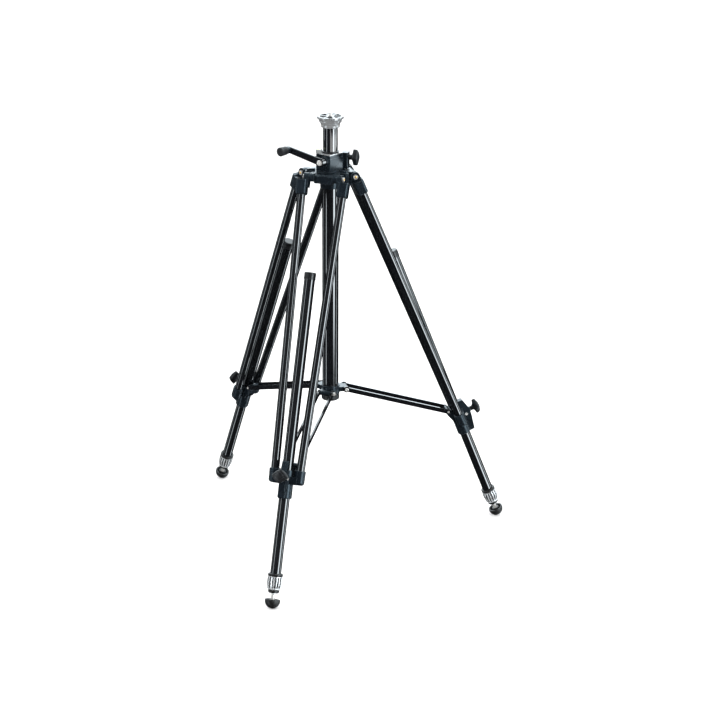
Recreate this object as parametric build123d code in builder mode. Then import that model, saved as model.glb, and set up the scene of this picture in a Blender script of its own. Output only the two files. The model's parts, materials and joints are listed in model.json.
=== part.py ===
from build123d import *

import os
from math import asin, atan2, cos, degrees, hypot, radians, sin

# Studio tripod with a geared centre column, modelled as separate pieces.
# Millimetres, +Z up. The origin is on the floor under the column axis and the
# front leg runs towards -Y. Leg pieces are drawn once in a leg frame and then
# placed on the three legs.

os.makedirs("parts", exist_ok=True)

# ---------------------------------------------------------------- dimensions
# Legs
LEG_ANGLES = {"front": -90.0, "right": 30.0, "left": 150.0}
LEG_SPREAD = 23.3            # twin tube plane from vertical, degrees
HINGE_R = 50.5               # hinge pins from the column axis
HINGE_Z = 934.0
TUBE_D = 20.0                # twin upper tubes
TUBE_WALL = 1.5
TUBE_TOP_X = 51.5            # half spacing of the twin tubes at the hinge
TUBE_LOW_X = 30.8            # half spacing at the lock casting
LOCK_S = 700.0               # hinge to lock casting, along the leg
CLOSED_ANGLE = 0.8           # leg angle when folded, degrees

# Middle tube and its line in the leg plane
MID_D = 26.0
MID_WALL = 1.5
MID_OUT = 1.0                # middle tube axis outside the twin tube plane
MID_TILT = 1.45              # middle tube steeper than the twin tubes, degrees
MID_TOP = -471.0             # along the slide axis, down is positive
MID_END = 240.0
LOWER_D = 22.8
LOWER_TOP = -330.0
LOWER_END = 276.5
BALL_R = 18.0

# Spreader
ARM_PIVOT_S = 676.0
ARM_PIVOT_N = -19.5
HUB_PIVOT_R = 37.0
HUB_PIVOT_Z = 387.5
BAR_X = 17.2                 # half spacing of the two arm bars
BAR_T = 4.2
BAR_H = 11.2

# Head
COLUMN_D = 35.0
COLUMN_WALL = 2.5
COLUMN_TOP = 1046.0
COLUMN_LOW = 424.0
SLEEVE_D = 40.0
SLEEVE_WALL = 1.5
SLEEVE_LOW = 363.8
SPIDER_LOW = 921.0
SPIDER_TOP = 944.0
HOUSING_TOP = 983.0
COVER_TOP = 985.0
HOUSING_YAW = -22.0
PLATE_TOP = 1072.0
CRANK_X = 6.0
CRANK_Z = 968.5
LOCK_Y = 22.0               # the column lock passes beside the column
LOCK_Z = 971.0

RUN = 0.06                   # radial running clearance
SET = 0.02                   # radial clearance of bonded and pressed pieces

# ------------------------------------------------------------ derived values
TUBE_R = TUBE_D / 2
MID_R = MID_D / 2
LOWER_R = LOWER_D / 2
TUBE_LEAN = degrees(atan2(TUBE_TOP_X - TUBE_LOW_X, LOCK_S))
MID_ANGLE = LEG_SPREAD - MID_TILT
LOCK_Z_UP = HINGE_Z - LOCK_S * cos(radians(LEG_SPREAD)) + MID_OUT * sin(radians(LEG_SPREAD))
BALL_Q = (LOCK_Z_UP - BALL_R) / cos(radians(MID_ANGLE))
LOCK_OUT = HINGE_R + LOCK_S * sin(radians(LEG_SPREAD)) + MID_OUT * cos(radians(LEG_SPREAD))
BALL_OUT = LOCK_OUT + BALL_Q * sin(radians(MID_ANGLE))
# Pieces are drawn round the column axis. The origin is the middle of the footprint
# box, which lies a quarter of the foot radius towards the front leg.
TO_ORIGIN = Pos(0, BALL_OUT / 4, 0)


def pivot_at(angle):
    """Radius and height of the arm pivot on the lock casting."""
    a = radians(angle)
    radius = HINGE_R + ARM_PIVOT_S * sin(a) + ARM_PIVOT_N * cos(a)
    height = HINGE_Z - ARM_PIVOT_S * cos(a) + ARM_PIVOT_N * sin(a)
    return radius, height


REST_R, REST_Z = pivot_at(LEG_SPREAD)
ARM_LENGTH = hypot(REST_R - HUB_PIVOT_R, HUB_PIVOT_Z - REST_Z)
ARM_ANGLE = degrees(atan2(REST_R - HUB_PIVOT_R, HUB_PIVOT_Z - REST_Z))
CLOSED_R, CLOSED_Z = pivot_at(CLOSED_ANGLE)
ARM_CLOSED = degrees(asin((CLOSED_R - HUB_PIVOT_R) / ARM_LENGTH))
HUB_TRAVEL = CLOSED_Z + ARM_LENGTH * cos(radians(ARM_CLOSED)) - HUB_PIVOT_Z

# ------------------------------------------------------------------- frames
# Leg frame: X across the leg, Y inwards, Z up along the twin tube plane.
# Slide frame: the same, on the middle tube's axis at the lock casting.
SLIDE_IN_LEG = Pos(0, -MID_OUT, -LOCK_S) * Rot(MID_TILT, 0, 0)
SLIDE = Plane(SLIDE_IN_LEG)


def leg_place(angle):
    """Location of the leg frame for a leg in plan direction angle."""
    return Rot(0, 0, angle + 90) * Pos(0, -HINGE_R, HINGE_Z) * Rot(-LEG_SPREAD, 0, 0)


def slide_place(angle):
    """Location of the slide frame of one leg."""
    return leg_place(angle) * SLIDE_IN_LEG


def arm_place(angle):
    """Location of the spreader arm frame of one leg, origin on the hub pivot."""
    return Rot(0, 0, angle + 90) * Pos(0, -HUB_PIVOT_R, HUB_PIVOT_Z) * Rot(-ARM_ANGLE, 0, 0)


def tube_plane(side):
    """Plane across one of the twin tubes at the hinge, normal up the tube."""
    lean = radians(TUBE_LEAN)
    return Plane(
        origin=(side * TUBE_TOP_X, 0, 0),
        x_dir=(cos(lean), 0, -side * sin(lean)),
        z_dir=(side * sin(lean), 0, cos(lean)),
    )


def save(builder, name):
    """Label one piece, move it to the part's origin and write its STEP file."""
    piece = builder.part.moved(TO_ORIGIN)
    piece.label = name
    export_step(piece, f"parts/{name}.step")


def save_on_legs(builder, name, place):
    """Write one piece three times, placed on each leg."""
    for leg, angle in LEG_ANGLES.items():
        piece = builder.part.moved(TO_ORIGIN * place(angle))
        piece.label = f"{leg}_{name}"
        export_step(piece, f"parts/{leg}_{name}.step")


# ============================================================ leg: twin tubes
TUBE_START = 14.0
TUBE_END = 716.0
with BuildPart() as upper_tubes:
    for side in (-1, 1):
        with BuildSketch(tube_plane(side).offset(-TUBE_END)):
            Circle(TUBE_R)
            Circle(TUBE_R - TUBE_WALL, mode=Mode.SUBTRACT)
        extrude(amount=TUBE_END - TUBE_START)
save_on_legs(upper_tubes, "upper_tubes", leg_place)

# =========================================================== leg: top sockets
TONGUE_IN = 34.8
TONGUE_OUT = 46.8
TONGUE_R = 11.0
SOCKET_TOP = 8.0
SOCKET_END = 43.0
SOCKET_W = 25.4
SOCKET_DEPTH = 26.0
HINGE_PIN_R = 4.0
with BuildPart() as hinge_sockets:
    for side in (-1, 1):
        with BuildSketch(tube_plane(side).offset(-SOCKET_END)):
            RectangleRounded(SOCKET_W, SOCKET_DEPTH, 5.5)
        extrude(amount=SOCKET_END - SOCKET_TOP)
        with BuildSketch(Plane.YZ.offset(side * TONGUE_IN)):
            Circle(TONGUE_R)
            with Locations((0, -12)):
                Rectangle(2 * TONGUE_R, 24)
        extrude(amount=side * (TONGUE_OUT - TONGUE_IN))
        bottom = faces().filter_by(lambda f: f.center().X * side > 0).sort_by(Axis.Z)[0]
        fillet(bottom.edges(), 4.0)
    for side in (-1, 1):
        with BuildSketch(tube_plane(side).offset(-SOCKET_END - 2)):
            Circle(TUBE_R + SET)
        extrude(amount=SOCKET_END + 2 - TUBE_START, mode=Mode.SUBTRACT)
        with BuildSketch(Plane.YZ.offset(side * (TONGUE_IN - 1))):
            Circle(HINGE_PIN_R + RUN)
        extrude(amount=side * (TONGUE_OUT - TONGUE_IN + 2), mode=Mode.SUBTRACT)
        with BuildSketch(Plane.YZ.offset(side * TONGUE_OUT)):
            Circle(TONGUE_R - 1.0)
        extrude(amount=side * 22, mode=Mode.SUBTRACT)
save_on_legs(hinge_sockets, "hinge_sockets", leg_place)

# ========================================================== leg: lock casting
GUIDE_R = 17.0
GUIDE_TOP = -12.0
GUIDE_END = 54.5
GUIDE_ROUND = 1.8
WEB_W = 58.0                 # web between the cups, outer side
WEB_Y = -12.3
WEB_T = 3.8
WEB_TOP = 702.0
FLOOR_Y = -3.0
FLOOR_D = 20.0
CUP_R = 13.2
CUP_TOP = 687.0
CUP_END = 721.0
CUP_ROUND = 7.0
CUP_LIP = 1.2
SLOT_IN = 14.9
SLOT_OUT = 19.6
SLOT_END = 718.0
SLOT_N = 10.2
LUG_X = 14.6
FIN_X = 7.5
KNOB_S = 703.0
FIN_N = 33.0
KNOB_SCREW_R = 4.0
KNOB_SCREW_FROM = 17.0
with BuildPart() as lock_casting:
    # cups that hold the twin tubes
    for side in (-1, 1):
        across = tube_plane(side)
        upright = Plane(origin=across.origin, x_dir=across.x_dir, z_dir=-across.y_dir)
        with BuildSketch(upright):
            with BuildLine():
                floor = Line((0, -CUP_END), (CUP_R - CUP_ROUND, -CUP_END))
                corner = RadiusArc(floor @ 1, (CUP_R, -CUP_END + CUP_ROUND), -CUP_ROUND)
                wall = Line(corner @ 1, (CUP_R, -CUP_TOP - CUP_LIP))
                lip = RadiusArc(wall @ 1, (CUP_R - CUP_LIP, -CUP_TOP), -CUP_LIP)
                top = Line(lip @ 1, (0, -CUP_TOP))
                Line(top @ 1, floor @ 0)
            make_face()
        revolve(axis=Axis(across.origin, across.z_dir))
    # outer web and floor between the cups
    with BuildSketch(Plane.XY.offset(-CUP_END)):
        with Locations((0, WEB_Y)):
            Rectangle(WEB_W, WEB_T)
    extrude(amount=CUP_END - WEB_TOP)
    with BuildSketch(Plane.XY.offset(-CUP_END)):
        with Locations((0, FLOOR_Y)):
            Rectangle(WEB_W, FLOOR_D)
    extrude(amount=CUP_END - SLOT_END - 0.4)
    # round guide of the middle tube
    with BuildSketch(SLIDE.offset(-GUIDE_END + GUIDE_ROUND)):
        Circle(GUIDE_R)
    extrude(amount=GUIDE_END - GUIDE_ROUND - GUIDE_TOP)
    with BuildSketch(SLIDE.offset(-GUIDE_END + GUIDE_ROUND)):
        Circle(GUIDE_R)
    extrude(amount=-GUIDE_ROUND, taper=40)
    # clamp fin that carries the lock knob
    with BuildSketch(Plane.YZ.offset(-FIN_X)):
        with BuildLine():
            Polyline(
                (-12.5, -667),
                (-25.0, -668),
                (-FIN_N, -697),
                (-FIN_N, -712),
                (-26, -755.0),
                (-12.5, -755.0),
                close=True,
            )
        make_face()
        fillet(vertices().sort_by(Axis.X)[:4], 3.0)
    extrude(amount=2 * FIN_X)
    with BuildSketch(Plane.XZ.offset(FIN_N - 1)):
        with Locations((0, -KNOB_S)):
            Circle(6.8)
    extrude(amount=2.6)
    # inner lug between the spreader bars
    with BuildSketch(Plane.YZ.offset(-LUG_X)):
        with Locations((-ARM_PIVOT_N, -ARM_PIVOT_S)):
            Circle(6.0)
        with BuildLine():
            Polyline(
                (12.0, -ARM_PIVOT_S),
                (25.5, -ARM_PIVOT_S),
                (25.0, -686),
                (15.0, -716),
                (8.0, -716),
                close=True,
            )
        make_face()
    extrude(amount=2 * LUG_X)
    # slots that the spreader bars swing through
    for side in (-1, 1):
        with Locations((side * (SLOT_IN + SLOT_OUT) / 2, 20 - SLOT_N / 2, -(SLOT_END + 660) / 2)):
            Box(SLOT_OUT - SLOT_IN, 40 + SLOT_N, SLOT_END - 660, mode=Mode.SUBTRACT)
    # bores: middle tube, twin tubes, knob screw, arm pivot
    with BuildSketch(SLIDE.offset(-GUIDE_END - 3)):
        Circle(MID_R + RUN)
    extrude(amount=GUIDE_END + 60, mode=Mode.SUBTRACT)
    for side in (-1, 1):
        with BuildSketch(tube_plane(side).offset(-TUBE_END - 0.5)):
            Circle(TUBE_R + SET)
        extrude(amount=TUBE_END - 650, mode=Mode.SUBTRACT)
    with BuildSketch(Plane.XZ.offset(10)):
        with Locations((0, -KNOB_S)):
            Circle(KNOB_SCREW_R + RUN)
    extrude(amount=30, mode=Mode.SUBTRACT)
    with BuildSketch(Plane.YZ.offset(-LUG_X - 1)):
        with Locations((-ARM_PIVOT_N, -ARM_PIVOT_S)):
            Circle(3.1)
    extrude(amount=2 * LUG_X + 2, mode=Mode.SUBTRACT)
save_on_legs(lock_casting, "lock_casting", leg_place)

# ============================================================= leg: lock knob
KNOB_LONG = 41.0
KNOB_SHORT = 33.0
KNOB_NECK_R = 6.0
KNOB_NECK = 7.0
KNOB_FLARE = 8.0
KNOB_GRIP = 9.0
KNOB_TURN = {"front": 0.0, "right": 90.0, "left": 90.0}
# Leg frame again: the knob's axis points outwards (-Y) at KNOB_S.
KNOB_AXIS = Plane(origin=(0, 0, -KNOB_S), x_dir=(1, 0, 0), z_dir=(0, -1, 0))


def make_knob(axis, base, neck_r, neck, flare, grip, long, short, screw_from):
    """Screw, neck, flared back and lozenge grip with a raised centre, out along axis."""
    grip_at = base + neck + flare
    with BuildPart() as knob:
        with BuildSketch(axis.offset(base)):
            Circle(neck_r)
        extrude(amount=neck)
        with BuildSketch(axis.offset(base + neck)):
            Circle(neck_r)
        with BuildSketch(axis.offset(grip_at)):
            with BuildLine():
                Polyline((long / 2, 0), (0, short / 2), (-long / 2, 0), (0, -short / 2), close=True)
            make_face()
            fillet(vertices(), 4.5)
        loft()
        with BuildSketch(axis.offset(grip_at)):
            with BuildLine():
                Polyline((long / 2, 0), (0, short / 2), (-long / 2, 0), (0, -short / 2), close=True)
            make_face()
            fillet(vertices(), 4.5)
        extrude(amount=grip, taper=6)
        with BuildSketch(axis.offset(grip_at + grip)):
            with BuildLine():
                Polyline((long / 4, 0), (0, short / 4), (-long / 4, 0), (0, -short / 4), close=True)
            make_face()
            fillet(vertices(), 2.5)
        extrude(amount=1.6, taper=20)
        with BuildSketch(axis.offset(screw_from)):
            Circle(KNOB_SCREW_R)
        extrude(amount=base + 0.5 - screw_from)
    return knob


lock_knob = make_knob(
    KNOB_AXIS,
    FIN_N + 2.0,
    KNOB_NECK_R,
    KNOB_NECK,
    KNOB_FLARE,
    KNOB_GRIP,
    KNOB_LONG,
    KNOB_SHORT,
    KNOB_SCREW_FROM,
)
for leg, angle in LEG_ANGLES.items():
    turned = Pos(0, 0, -KNOB_S) * Rot(0, KNOB_TURN[leg], 0) * Pos(0, 0, KNOB_S)
    piece = lock_knob.part.moved(TO_ORIGIN * leg_place(angle) * turned)
    piece.label = f"{leg}_lock_knob"
    export_step(piece, f"parts/{leg}_lock_knob.step")

# ======================================================= leg: sliding sections
CAP_R = 14.0
with BuildPart() as middle_tube:
    with BuildSketch(Plane.XY.offset(-MID_END)):
        Circle(MID_R)
        Circle(MID_R - MID_WALL, mode=Mode.SUBTRACT)
    extrude(amount=MID_END - MID_TOP)
save_on_legs(middle_tube, "middle_tube", slide_place)

with BuildPart() as tube_cap:
    with BuildSketch(Plane.XY.offset(-MID_TOP - 12)):
        Circle(CAP_R)
    extrude(amount=17)
    fillet(faces().sort_by(Axis.Z)[-1].edges(), 2.5)
    with BuildSketch(Plane.XY.offset(-MID_TOP - 12)):
        Circle(MID_R + SET)
    extrude(amount=12, mode=Mode.SUBTRACT)
save_on_legs(tube_cap, "tube_cap", slide_place)

COLLAR_TOP = 236.5
COLLAR_END = 268.0
FLUTES = 16
with BuildPart() as twist_collar:
    with BuildSketch(Plane.XZ):
        with BuildLine():
            top = Line((0, -COLLAR_TOP), (16.6, -COLLAR_TOP))
            bulge = ThreePointArc(top @ 1, (18.2, -COLLAR_TOP - 13), (15.4, -COLLAR_END))
            low = Line(bulge @ 1, (0, -COLLAR_END))
            Line(low @ 1, top @ 0)
        make_face()
    revolve(axis=Axis.Z)
    with BuildSketch(Plane.XY.offset(-COLLAR_END)):
        with PolarLocations(18.9, FLUTES):
            Circle(2.3)
    extrude(amount=COLLAR_END - COLLAR_TOP - 3.0, mode=Mode.SUBTRACT)
    with BuildSketch(Plane.XY.offset(-MID_END - 1)):
        Circle(MID_R + RUN)
    extrude(amount=10, mode=Mode.SUBTRACT)
    with BuildSketch(Plane.XY.offset(-COLLAR_END)):
        Circle(LOWER_R + RUN)
    extrude(amount=40, mode=Mode.SUBTRACT)
save_on_legs(twist_collar, "twist_collar", slide_place)

RING_TOP = 230.5
GLAND_END = 274.5
with BuildPart() as collar_rings:
    with BuildSketch(Plane.XY.offset(-COLLAR_TOP)):
        Circle(17.6)
        Circle(MID_R + RUN, mode=Mode.SUBTRACT)
    extrude(amount=COLLAR_TOP - RING_TOP)
    chamfer(faces().sort_by(Axis.Z)[-1].edges().sort_by(SortBy.LENGTH)[-1], 1.2)
    with BuildSketch(Plane.XY.offset(-GLAND_END)):
        Circle(13.2)
        Circle(LOWER_R + RUN, mode=Mode.SUBTRACT)
    extrude(amount=GLAND_END - COLLAR_END)
save_on_legs(collar_rings, "collar_rings", slide_place)

SPINDLE_R = 4.5
SPINDLE_TOP = 262.0
with BuildPart() as lower_tube:
    with BuildSketch(Plane.XY.offset(-LOWER_END)):
        Circle(LOWER_R)
    extrude(amount=LOWER_END - LOWER_TOP)
    with BuildSketch(Plane.XY.offset(-SPINDLE_TOP)):
        Circle(LOWER_R - 1.5)
    extrude(amount=SPINDLE_TOP - LOWER_TOP, mode=Mode.SUBTRACT)
    with BuildSketch(Plane.XY.offset(-LOWER_END)):
        Circle(SPINDLE_R + SET)
    extrude(amount=LOWER_END - SPINDLE_TOP, mode=Mode.SUBTRACT)
save_on_legs(lower_tube, "lower_tube", slide_place)

SPINDLE_TIP = BALL_Q + 12.0
with BuildPart() as foot_spindle:
    with BuildSketch(Plane.XY.offset(-SPINDLE_TIP + 5)):
        Circle(SPINDLE_R)
    extrude(amount=SPINDLE_TIP - 5 - SPINDLE_TOP)
    with BuildSketch(Plane.XY.offset(-SPINDLE_TIP + 5)):
        Circle(SPINDLE_R)
    extrude(amount=-5, taper=35)
save_on_legs(foot_spindle, "foot_spindle", slide_place)

BALL_FLAT = 3.0
with BuildPart() as foot_ball:
    with Locations((0, 0, -BALL_Q)):
        Sphere(BALL_R)
    split(bisect_by=Plane.XY.offset(-BALL_Q + BALL_FLAT), keep=Keep.BOTTOM)
    with BuildSketch(Plane.XY.offset(-BALL_Q + BALL_FLAT)):
        Circle(14.5)
        Circle(8.5, mode=Mode.SUBTRACT)
    extrude(amount=-4, mode=Mode.SUBTRACT)
    with BuildSketch(Plane.XY.offset(-BALL_Q - BALL_R)):
        Circle(SPINDLE_R + RUN)
    extrude(amount=BALL_R + BALL_FLAT + 1, mode=Mode.SUBTRACT)
save_on_legs(foot_ball, "foot_ball", slide_place)

# =============================================================== leg: spreader
EYE_R = 7.8
END_R = 5.6
PIN_R = 3.0
with BuildPart() as spreader_arm:
    for side in (-1, 1):
        with BuildSketch(Plane.YZ.offset(side * BAR_X - BAR_T / 2)):
            with Locations((0, -ARM_LENGTH / 2)):
                Rectangle(BAR_H, ARM_LENGTH)
            Circle(EYE_R)
            with Locations((0, -ARM_LENGTH)):
                Circle(END_R)
            Circle(PIN_R + RUN, mode=Mode.SUBTRACT)
            with Locations((0, -ARM_LENGTH)):
                Circle(PIN_R + SET, mode=Mode.SUBTRACT)
        extrude(amount=BAR_T)
save_on_legs(spreader_arm, "spreader_arm", arm_place)

with BuildPart() as arm_studs:
    for side in (-1, 1):
        with BuildSketch(Plane.YZ.offset(side * BAR_X - BAR_T / 2)):
            with Locations((0, -ARM_LENGTH)):
                Circle(PIN_R)
        extrude(amount=BAR_T)
save_on_legs(arm_studs, "arm_studs", arm_place)

HUB_R = 22.8
HUB_LOW = 376.5
HUB_HIGH = 398.5
with BuildPart() as spreader_hub:
    with BuildSketch(Plane.XY.offset(HUB_LOW)):
        Circle(HUB_R)
    extrude(amount=HUB_HIGH - HUB_LOW)
    for angle in LEG_ANGLES.values():
        across = Plane(Rot(0, 0, angle + 90) * Pos(-LUG_X, 0, 0) * Rot(90, 90, 0))
        with BuildSketch(across):
            with Locations((-HUB_PIVOT_R, HUB_PIVOT_Z)):
                Circle(6.0)
            with Locations((-(HUB_PIVOT_R + 10) / 2, HUB_PIVOT_Z)):
                Rectangle(HUB_PIVOT_R - 10, 12)
            with Locations((-HUB_PIVOT_R, HUB_PIVOT_Z)):
                Circle(PIN_R + SET, mode=Mode.SUBTRACT)
        extrude(amount=2 * LUG_X)
    with BuildSketch(Plane.XY.offset(HUB_LOW)):
        Circle(SLEEVE_D / 2 + 0.1)
    extrude(amount=HUB_HIGH - HUB_LOW, mode=Mode.SUBTRACT)
save(spreader_hub, "spreader_hub")

PIN_HEAD_IN = BAR_X + BAR_T / 2 + 0.3
with BuildPart() as hub_pins:
    for angle in LEG_ANGLES.values():
        place = Rot(0, 0, angle + 90) * Pos(0, -HUB_PIVOT_R, HUB_PIVOT_Z) * Rot(0, 90, 0)
        with BuildSketch(Plane(place).offset(-PIN_HEAD_IN - 0.1)):
            Circle(PIN_R)
        extrude(amount=2 * PIN_HEAD_IN + 0.2)
        for side in (-1, 1):
            with BuildSketch(Plane(place).offset(side * PIN_HEAD_IN)):
                Circle(4.6)
            extrude(amount=side * 1.8)
save(hub_pins, "hub_pins")

# ======================================================================= head
CHEEK_IN = 22.5
CHEEK_OUT = 34.5
CHEEK_R = 10.0
BAR_REACH = 55.0             # front face of the bar between the cheeks
COLLAR_LOW = 900.0
COLLAR_R = 24.5
SPIDER_FLAT = 33.5           # from the centre to each long side
SPIDER_R = 60.0
with BuildPart() as spider:
    with BuildSketch(Plane.XY.offset(SPIDER_LOW)):
        RegularPolygon(SPIDER_FLAT, 3, major_radius=False, rotation=90)
        Circle(SPIDER_R, mode=Mode.INTERSECT)
    extrude(amount=SPIDER_TOP - SPIDER_LOW)
    with BuildSketch(Plane.XY.offset(COLLAR_LOW)):
        Circle(COLLAR_R)
    extrude(amount=SPIDER_LOW - COLLAR_LOW + 1)
    fillet(faces().sort_by(Axis.Z)[0].edges(), 2.0)
    for angle in LEG_ANGLES.values():
        for side in (-1, 1):
            start = CHEEK_IN if side > 0 else -CHEEK_OUT
            place = Rot(0, 0, angle + 90) * Pos(start, 0, 0) * Rot(90, 90, 0)
            with BuildSketch(Plane(place)):
                with Locations((-HINGE_R, HINGE_Z)):
                    Circle(CHEEK_R)
                with Locations((-(HINGE_R + 20) / 2, (SPIDER_LOW + SPIDER_TOP) / 2 + 1.0)):
                    Rectangle(HINGE_R - 20, SPIDER_TOP - SPIDER_LOW - 3.0)
            extrude(amount=CHEEK_OUT - CHEEK_IN)
    # solid bar between the cheeks
    for angle in LEG_ANGLES.values():
        across = Plane(Rot(0, 0, angle + 90) * Pos(-CHEEK_IN - 0.5, 0, 0) * Rot(90, 90, 0))
        with BuildSketch(across):
            with BuildLine():
                Polyline(
                    (-20, SPIDER_LOW),
                    (-BAR_REACH, SPIDER_LOW),
                    (-BAR_REACH, SPIDER_TOP - 5),
                    (-BAR_REACH + 5, SPIDER_TOP - 2),
                    (-20, SPIDER_TOP - 2),
                    close=True,
                )
            make_face()
        extrude(amount=2 * CHEEK_IN + 1.0)
    # raised rib on each corner
    with BuildSketch(Plane.XY.offset(SPIDER_TOP)):
        for corner in (90, 210, 330):
            with Locations(Rot(0, 0, corner) * Pos(47, 0, 0)):
                SlotOverall(22, 9)
    extrude(amount=5, taper=8)
    # bores: hinge bolts and sleeve
    for angle in LEG_ANGLES.values():
        for side in (-1, 1):
            place = Rot(0, 0, angle + 90) * Pos(side * CHEEK_IN, -HINGE_R, HINGE_Z) * Rot(0, 90, 0)
            with BuildSketch(Plane(place)):
                Circle(HINGE_PIN_R + SET)
            extrude(amount=side * (CHEEK_OUT - CHEEK_IN), mode=Mode.SUBTRACT)
    with BuildSketch(Plane.XY.offset(COLLAR_LOW - 1)):
        Circle(SLEEVE_D / 2 + SET)
    extrude(amount=SPIDER_TOP - COLLAR_LOW + 8, mode=Mode.SUBTRACT)
save(spider, "spider")

BOLT_HEAD_R = 5.6
BOLT_HEAD = 3.4
with BuildPart() as hinge_bolts:
    for angle in LEG_ANGLES.values():
        place = Rot(0, 0, angle + 90) * Pos(0, -HINGE_R, HINGE_Z) * Rot(0, 90, 0)
        for side in (-1, 1):
            with BuildSketch(Plane(place).offset(side * CHEEK_IN)):
                Circle(HINGE_PIN_R)
            extrude(amount=side * (TONGUE_OUT + 0.3 - CHEEK_IN))
            with BuildSketch(Plane(place).offset(side * (TONGUE_OUT + 0.2))):
                Circle(BOLT_HEAD_R)
                RegularPolygon(2.6, 6, mode=Mode.SUBTRACT)
            extrude(amount=side * BOLT_HEAD)
            with BuildSketch(Plane(place).offset(side * (TONGUE_OUT + 0.2))):
                Circle(BOLT_HEAD_R - 0.6)
            extrude(amount=side * 1.6)
save(hinge_bolts, "hinge_bolts")

with BuildPart() as sleeve_tube:
    with BuildSketch(Plane.XY.offset(SLEEVE_LOW)):
        Circle(SLEEVE_D / 2)
        Circle(SLEEVE_D / 2 - SLEEVE_WALL, mode=Mode.SUBTRACT)
    extrude(amount=SPIDER_TOP - 1 - SLEEVE_LOW)
save(sleeve_tube, "sleeve_tube")

CAP_FLOOR = 3.5
CAP_GRIP = 9.0
SLEEVE_CAP_R = 22.0
with BuildPart() as sleeve_cap:
    with BuildSketch(Plane.XY.offset(SLEEVE_LOW - CAP_FLOOR)):
        Circle(SLEEVE_CAP_R)
    extrude(amount=CAP_FLOOR + CAP_GRIP)
    fillet(faces().sort_by(Axis.Z)[0].edges(), 3.2)
    with BuildSketch(Plane.XY.offset(SLEEVE_LOW)):
        Circle(SLEEVE_D / 2 + SET)
    extrude(amount=CAP_GRIP + 1, mode=Mode.SUBTRACT)
save(sleeve_cap, "sleeve_cap")

# Housing frame: X to the housing's right face, -Y to the crank side.
HOUSING = Plane(Rot(0, 0, HOUSING_YAW))
CRANK_FACE = Plane(Rot(0, 0, HOUSING_YAW) * Pos(CRANK_X, 0, CRANK_Z) * Rot(90, 0, 0))
HOUSING_W = 44.0
HOUSING_FRONT = 27.5
HOUSING_BACK = 22.0
LUG_MID = 26.0
LUG_END = 38.5
BUSH_R = 19.5
BUSH_LOW = 948.0
BUSH_FLANGE_R = 20.4
SEAM_Z = 974.6
SEAM_H = 0.7
SEAM_DEPTH = 0.45
BEARING_R = 12.5
SHAFT_R = 5.0
LOCK_SCREW_FROM = 18.0
with BuildPart() as gear_housing:
    with BuildSketch(HOUSING.offset(SPIDER_TOP)):
        with Locations((0, (HOUSING_BACK - HOUSING_FRONT) / 2)):
            RectangleRounded(HOUSING_W, HOUSING_FRONT + HOUSING_BACK, 1.8)
    extrude(amount=HOUSING_TOP - SPIDER_TOP)
    # shadow groove between housing and cover
    with BuildSketch(HOUSING.offset(SEAM_Z)):
        with Locations((0, (HOUSING_BACK - HOUSING_FRONT) / 2)):
            RectangleRounded(HOUSING_W + 4, HOUSING_FRONT + HOUSING_BACK + 4, 1.8)
            RectangleRounded(
                HOUSING_W - 2 * SEAM_DEPTH,
                HOUSING_FRONT + HOUSING_BACK - 2 * SEAM_DEPTH,
                1.5,
                mode=Mode.SUBTRACT,
            )
    extrude(amount=SEAM_H, mode=Mode.SUBTRACT)
    # clamp lug behind the right face and bearing boss of the crank
    with BuildSketch(Plane.XY.offset(SPIDER_TOP)):
        with Locations((LUG_MID, LOCK_Y)):
            RectangleRounded(2 * (LUG_END - LUG_MID), 18, 2.5)
    extrude(amount=HOUSING_TOP - SPIDER_TOP)
    with BuildSketch(CRANK_FACE.offset(HOUSING_FRONT - 1)):
        Circle(BEARING_R)
    extrude(amount=6.5, taper=4)
    # bores: column and bush, crank shaft, lock screw
    with BuildSketch(Plane.XY.offset(SPIDER_TOP - 1)):
        Circle(COLUMN_D / 2 + 0.6)
    extrude(amount=60, mode=Mode.SUBTRACT)
    with BuildSketch(Plane.XY.offset(BUSH_LOW)):
        Circle(BUSH_R + SET)
    extrude(amount=60, mode=Mode.SUBTRACT)
    with BuildSketch(CRANK_FACE.offset(15)):
        Circle(SHAFT_R + RUN)
    extrude(amount=30, mode=Mode.SUBTRACT)
    with BuildSketch(Plane.YZ.offset(LOCK_SCREW_FROM - 0.5)):
        with Locations((LOCK_Y, LOCK_Z)):
            Circle(KNOB_SCREW_R + RUN)
    extrude(amount=30, mode=Mode.SUBTRACT)
save(gear_housing, "gear_housing")

with BuildPart() as housing_cover:
    with BuildSketch(HOUSING.offset(HOUSING_TOP)):
        with Locations((0, (HOUSING_BACK - HOUSING_FRONT) / 2)):
            RectangleRounded(HOUSING_W - 1.6, HOUSING_FRONT + HOUSING_BACK - 1.6, 1.8)
        Circle(BUSH_R + SET, mode=Mode.SUBTRACT)
    extrude(amount=COVER_TOP - HOUSING_TOP)
save(housing_cover, "housing_cover")

with BuildPart() as column_bush:
    with BuildSketch(Plane.XY.offset(BUSH_LOW)):
        Circle(BUSH_R)
    extrude(amount=COVER_TOP - BUSH_LOW)
    with BuildSketch(Plane.XY.offset(COVER_TOP)):
        Circle(BUSH_FLANGE_R)
    extrude(amount=4.2)
    chamfer(faces().sort_by(Axis.Z)[-1].edges(), 0.8)
    with BuildSketch(Plane.XY.offset(BUSH_LOW - 1)):
        Circle(COLUMN_D / 2 + RUN)
    extrude(amount=60, mode=Mode.SUBTRACT)
save(column_bush, "column_bush")

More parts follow.
